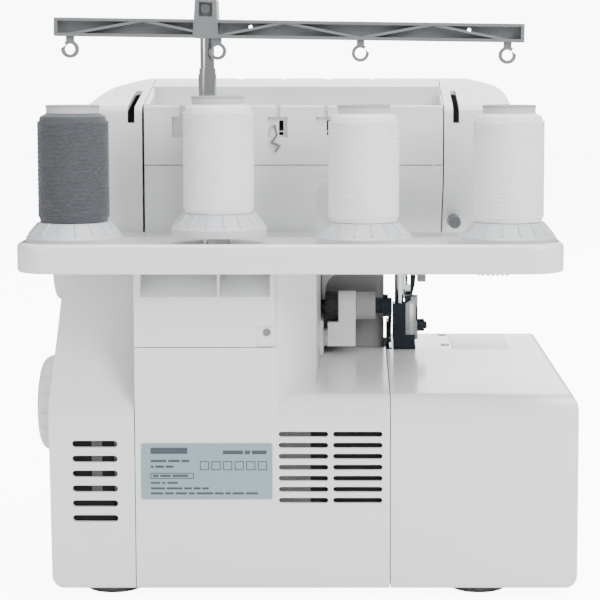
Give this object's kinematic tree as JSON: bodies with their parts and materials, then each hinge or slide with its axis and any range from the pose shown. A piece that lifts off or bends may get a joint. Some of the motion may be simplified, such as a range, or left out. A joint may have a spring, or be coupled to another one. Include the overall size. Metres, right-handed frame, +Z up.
{
  "type": "serger overlock machine",
  "caption": "Household overlock machine with stepped white casings, a free bed, a hinged front cover, a handwheel, tension wheels, and a rear thread-cone tray under a telescopic guide bar.",
  "frame": {"origin": "on the table, under the centre of the machine's bounding box", "axes": "+Z up, the operator at -Y, the handwheel at +X, the thread cones at +Y"},
  "size_m": [0.321, 0.284, 0.3413],
  "materials": {
    "casing_white": "glossy white moulded casing",
    "panel_white": "satin white moulding",
    "pan_grey": "moulded grey underside",
    "rubber_dark": "moulded rubber",
    "plate_steel": "ground steel",
    "screw_steel": "zinc-plated steel",
    "frame_cast": "die-cast aluminium",
    "shaft_steel": "ground steel shaft",
    "motor_black": "painted motor can",
    "belt_rubber": "toothed belt",
    "control_grey": "satin control wheel",
    "black_plastic": "black moulding",
    "sleeve_grey": "grey moulding",
    "chrome": "polished chrome",
    "dark_steel": "blackened steel",
    "label_silver": "printed foil label",
    "guide_grey": "mid-grey moulding",
    "spool_frosted": "frosted polypropylene",
    "thread_dark": "dark grey polyester thread",
    "thread_white": "white polyester thread"
  },
  "bodies": {
    "machine": {"side_casing": "casing_white", "rear_cover": "casing_white", "spool_bracket": "casing_white", "end_cover": "casing_white", "column_cover": "sleeve_grey", "head_shell": "casing_white", "rear_upper_cover": "casing_white", "rear_lower_cover": "casing_white", "face_cover": "casing_white", "bottom_pan": "pan_grey", "rubber_feet": "rubber_dark", "needle_plate": "plate_steel", "cloth_plate": "panel_white", "screws": "screw_steel", "chassis": "frame_cast", "motor": "motor_black", "drive_belt": "belt_rubber", "power_inlet": "black_plastic", "knife_bracket": "panel_white", "lower_knife": "plate_steel", "thread_guides": "chrome", "rating_plate": "label_silver", "spool_tray": "casing_white", "spool_pins": "panel_white", "pole_tube": "chrome"},
    "drive": {"handwheel": "control_grey", "main_shaft": "shaft_steel", "main_pulley": "black_plastic"},
    "motor_rotor": {"motor_pulley": "shaft_steel"},
    "front_door": {"front_cover": "casing_white"},
    "stitch_control": {"stitch_dial": "control_grey"},
    "differential_control": {"differential_dial": "control_grey"},
    "switch_rocker": {"power_switch": "black_plastic"},
    "needle_drive": {"needle_bar": "chrome"},
    "presser": {"presser_bar": "chrome", "presser_foot": "dark_steel"},
    "lifter": {"presser_lifter": "control_grey"},
    "knife": {"knife_shaft": "dark_steel", "knife_sleeve": "sleeve_grey", "knife_knob": "black_plastic", "upper_knife": "dark_steel"},
    "upper_looper_arm": {"upper_looper": "chrome"},
    "lower_looper_arm": {"lower_looper": "chrome"},
    "feed": {"feed_dog": "plate_steel"},
    "tension_1": {"tension_dial_1": "control_grey"},
    "tension_2": {"tension_dial_2": "control_grey"},
    "tension_3": {"tension_dial_3": "control_grey"},
    "tension_4": {"tension_dial_4": "control_grey"},
    "guide_pole": {"pole_rod": "chrome"},
    "guide_arm": {"guide_bar": "guide_grey", "guide_screw": "screw_steel"},
    "cone_1": {"spool_1": "spool_frosted", "thread_1": "thread_dark"},
    "cone_2": {"spool_2": "spool_frosted", "thread_2": "thread_white"},
    "cone_3": {"spool_3": "spool_frosted", "thread_3": "thread_white"},
    "cone_4": {"spool_4": "spool_frosted", "thread_4": "thread_white"}
  },
  "joints": [
    {"name": "handwheel_turn", "type": "hinge", "parent": "machine", "child": "drive", "pos_m": [0.15, 0.015, 0.095], "axis": [1, 0, 0], "continuous": true},
    {"name": "motor_turn", "type": "hinge", "parent": "machine", "child": "motor_rotor", "pos_m": [0.109, 0.062, 0.046], "axis": [1, 0, 0], "continuous": true},
    {"name": "front_cover_open", "type": "hinge", "parent": "machine", "child": "front_door", "pos_m": [0, -0.134, 0.01], "axis": [1, 0, 0], "range_deg": [0, 80]},
    {"name": "stitch_length_turn", "type": "hinge", "parent": "machine", "child": "stitch_control", "pos_m": [0.145, 0, 0.181], "axis": [1, 0, 0], "range_deg": [-150, 150]},
    {"name": "differential_feed_turn", "type": "hinge", "parent": "machine", "child": "differential_control", "pos_m": [0.145, -0.055, 0.185], "axis": [1, 0, 0], "range_deg": [-120, 120]},
    {"name": "power_switch_rock", "type": "hinge", "parent": "machine", "child": "switch_rocker", "pos_m": [0.135, -0.112, 0.042], "axis": [0, 1, 0], "range_deg": [-7, 7]},
    {"name": "needle_stroke", "type": "slide", "parent": "machine", "child": "needle_drive", "axis": [0, 0, 1], "range_m": [-0.024, 0]},
    {"name": "presser_lever_lift", "type": "hinge", "parent": "machine", "child": "lifter", "pos_m": [-0.1, -0.08, 0.168], "axis": [1, 0, 0], "range_deg": [0, 28]},
    {"name": "presser_lift", "type": "slide", "parent": "machine", "child": "presser", "axis": [0, 0, 1], "range_m": [0, 0.0065]},
    {"name": "upper_knife_swing", "type": "hinge", "parent": "machine", "child": "knife", "pos_m": [-0.03, -0.052, 0.147], "axis": [1, 0, 0], "range_deg": [-8, 0]},
    {"name": "upper_looper_swing", "type": "hinge", "parent": "machine", "child": "upper_looper_arm", "pos_m": [-0.034, -0.1, 0.044], "axis": [0, 1, 0], "range_deg": [-8, 8]},
    {"name": "lower_looper_swing", "type": "hinge", "parent": "machine", "child": "lower_looper_arm", "pos_m": [-0.076, -0.08, 0.04], "axis": [0, 1, 0], "range_deg": [-12, 0]},
    {"name": "feed_stroke", "type": "slide", "parent": "machine", "child": "feed", "axis": [0, 1, 0], "range_m": [-0.0025, 0.0025]},
    {"name": "tension_turn_1", "type": "hinge", "parent": "machine", "child": "tension_1", "pos_m": [0.0405, -0.07, 0.248], "axis": [1, 0, 0], "range_deg": [-160, 160]},
    {"name": "tension_turn_2", "type": "hinge", "parent": "machine", "child": "tension_2", "pos_m": [0.0123, -0.07, 0.248], "axis": [1, 0, 0], "range_deg": [-160, 160]},
    {"name": "tension_turn_3", "type": "hinge", "parent": "machine", "child": "tension_3", "pos_m": [-0.0159, -0.07, 0.248], "axis": [1, 0, 0], "range_deg": [-160, 160]},
    {"name": "tension_turn_4", "type": "hinge", "parent": "machine", "child": "tension_4", "pos_m": [-0.0441, -0.07, 0.248], "axis": [1, 0, 0], "range_deg": [-160, 160]},
    {"name": "guide_pole_raise", "type": "slide", "parent": "machine", "child": "guide_pole", "axis": [0, 0, 1], "range_m": [-0.008, 0.085]},
    {"name": "guide_arm_swivel", "type": "hinge", "parent": "guide_pole", "child": "guide_arm", "pos_m": [0.0525, 0.0715, 0.325], "axis": [0, 0, 1], "range_deg": [-90, 90]},
    {"name": "cone_turn_1", "type": "hinge", "parent": "machine", "child": "cone_1", "pos_m": [0.1246, 0.111, 0.24], "axis": [0, 0, 1], "continuous": true},
    {"name": "cone_turn_2", "type": "hinge", "parent": "machine", "child": "cone_2", "pos_m": [0.0432, 0.111, 0.24], "axis": [0, 0, 1], "continuous": true},
    {"name": "cone_turn_3", "type": "hinge", "parent": "machine", "child": "cone_3", "pos_m": [-0.0382, 0.111, 0.24], "axis": [0, 0, 1], "continuous": true},
    {"name": "cone_turn_4", "type": "hinge", "parent": "machine", "child": "cone_4", "pos_m": [-0.1196, 0.111, 0.24], "axis": [0, 0, 1], "continuous": true}
  ],
  "couplings": [
    {"joint": "motor_turn", "follows": "handwheel_turn", "ratio": 3.75},
    {"joint": "presser_lever_lift", "follows": "presser_lift", "rad_per_m": 75.183}
  ]
}
